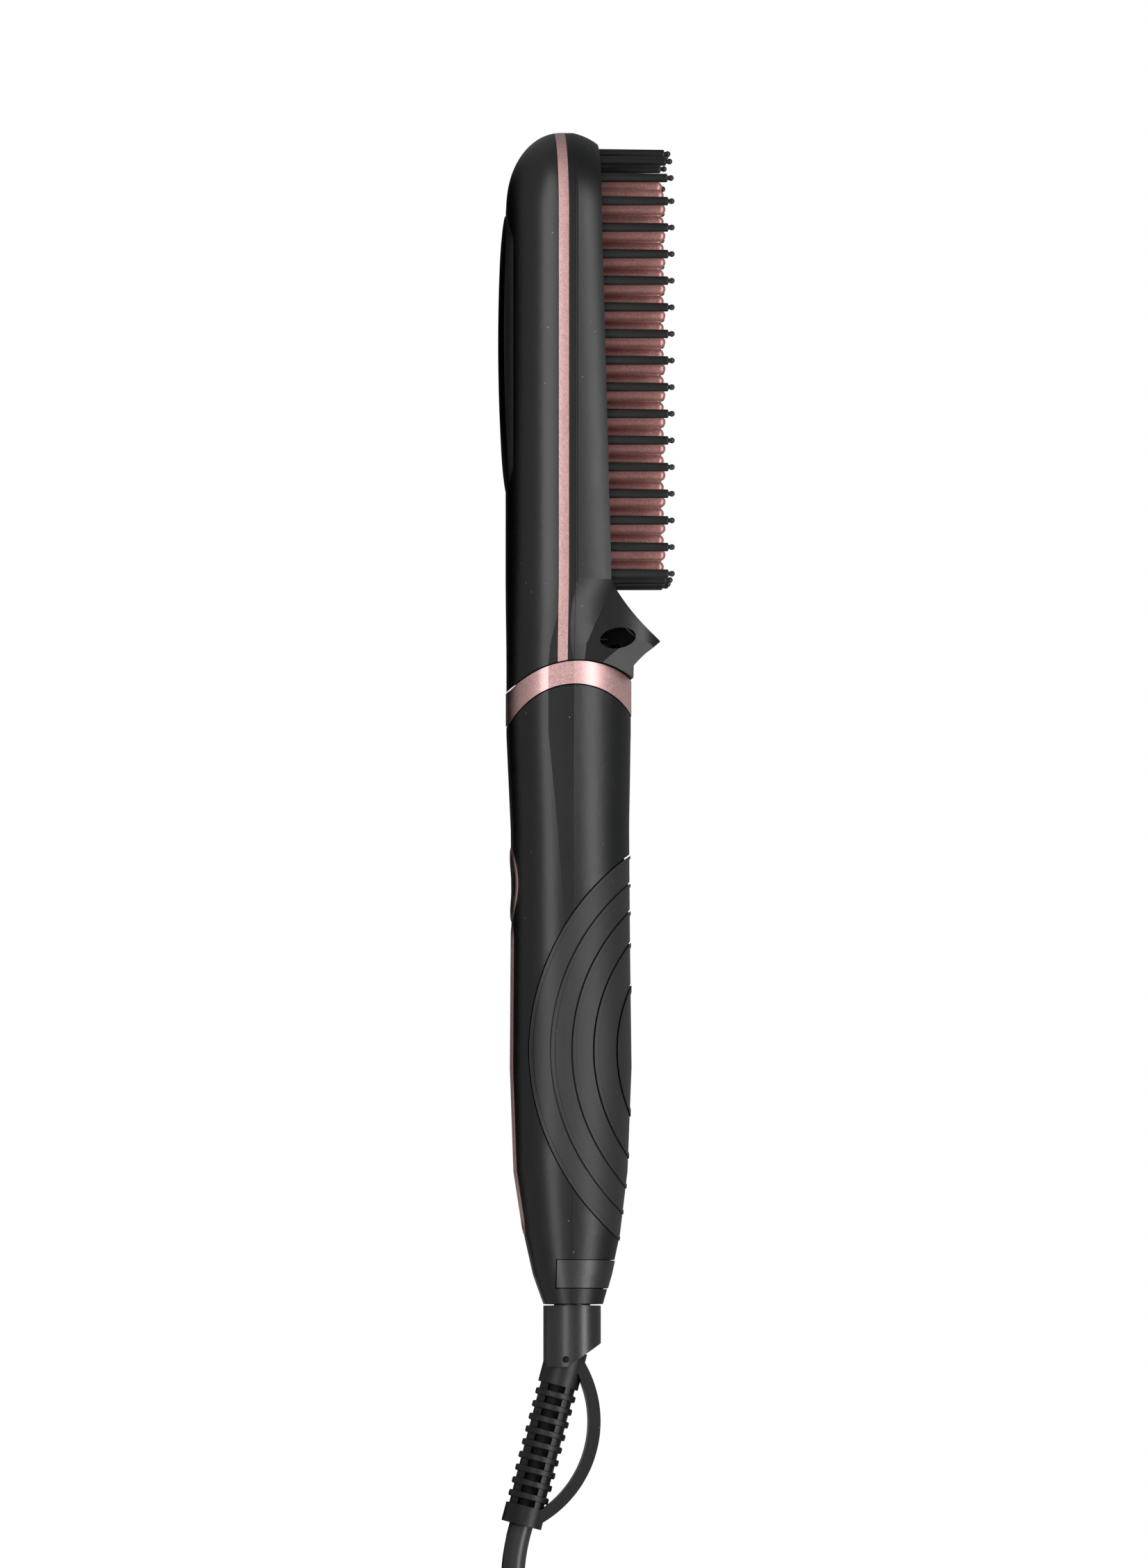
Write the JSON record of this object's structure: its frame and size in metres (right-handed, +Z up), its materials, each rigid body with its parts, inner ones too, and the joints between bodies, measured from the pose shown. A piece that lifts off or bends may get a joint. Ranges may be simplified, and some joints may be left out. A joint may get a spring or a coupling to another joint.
{
  "type": "hair straightening brush",
  "caption": "Corded heated paddle brush with tines inside a bristle ring, a rear power button, a display strip and a cord swivel with a hanging loop.",
  "frame": {"origin": "under the middle of the brush without its loose cord, on the surface that it lies on", "axes": "+X along the brush towards the crown of the head, +Z up, the way the bristles point, +Y sideways; the brush lies on its back"},
  "size_m": [0.5452, 0.0556, 0.0427],
  "materials": {
    "black_soft_touch": "soft-touch coating",
    "rose_gold_lacquer": "fine metallic lacquer, satin",
    "copper_coating": "ceramic coated, satin",
    "black_nylon": "moulded",
    "black_grip_rubber": "matte with fine steps",
    "black_flex_rubber": "moulded, satin",
    "smoked_lens": "smooth",
    "band_gloss": "satin, finely grained",
    "cord_jacket": "smooth sleeve",
    "black_moulding": "moulded",
    "ceramic_element": "fired",
    "clamp_aluminium": "pressed sheet",
    "circuit_board": "solder mask",
    "screw_steel": "zinc plated",
    "contact_brass": "turned",
    "plated_pin": "nickel plated",
    "tie_plastic": "coated wire tie"
  },
  "bodies": {
    "brush": {"head_back_cover": "black_soft_touch", "side_trim_strip": "rose_gold_lacquer", "head_front_housing": "black_soft_touch", "head_back_panel": "black_soft_touch", "bristle_comb": "black_nylon", "heater_plate": "copper_coating", "ptc_heaters": "ceramic_element", "heater_insulator": "ceramic_element", "heater_clamp": "clamp_aluminium", "thermistor": "ceramic_element", "thermal_fuse": "clamp_aluminium", "head_screws": "screw_steel", "heater_leads": "ceramic_element", "ion_generator": "black_moulding", "ion_needles": "screw_steel", "collar_ring": "rose_gold_lacquer", "handle_back_shell": "black_soft_touch", "handle_front_shell": "black_soft_touch", "grip_pad": "black_grip_rubber", "end_band": "band_gloss", "button_ring": "rose_gold_lacquer", "display_frame": "rose_gold_lacquer", "display_lens": "smoked_lens", "display_module": "black_moulding", "control_board": "circuit_board", "tact_switch": "black_moulding", "board_components": "black_moulding", "shell_screws": "screw_steel", "contact_block": "black_moulding", "contact_brushes": "contact_brass", "cord_run": "cord_jacket", "cord_hank": "cord_jacket", "cord_tail": "cord_jacket", "hank_tie": "tie_plastic", "plug_body": "black_flex_rubber", "plug_pins": "plated_pin"},
    "power_button": {"power_button": "black_soft_touch"},
    "cord_swivel": {"swivel_collar": "black_moulding", "slip_rings": "contact_brass", "cord_guard": "black_flex_rubber", "cord_lead": "cord_jacket"}
  },
  "joints": [
    {"name": "power_button_press", "type": "slide", "parent": "brush", "child": "power_button", "axis": [0, 0, 1], "range_m": [0, 0.0006], "stiffness_N_per_m": 900},
    {"name": "cord_swivel_turn", "type": "hinge", "parent": "brush", "child": "cord_swivel", "pos_m": [-0.12, 0, 0.018], "axis": [1, 0, 0], "continuous": true}
  ]
}
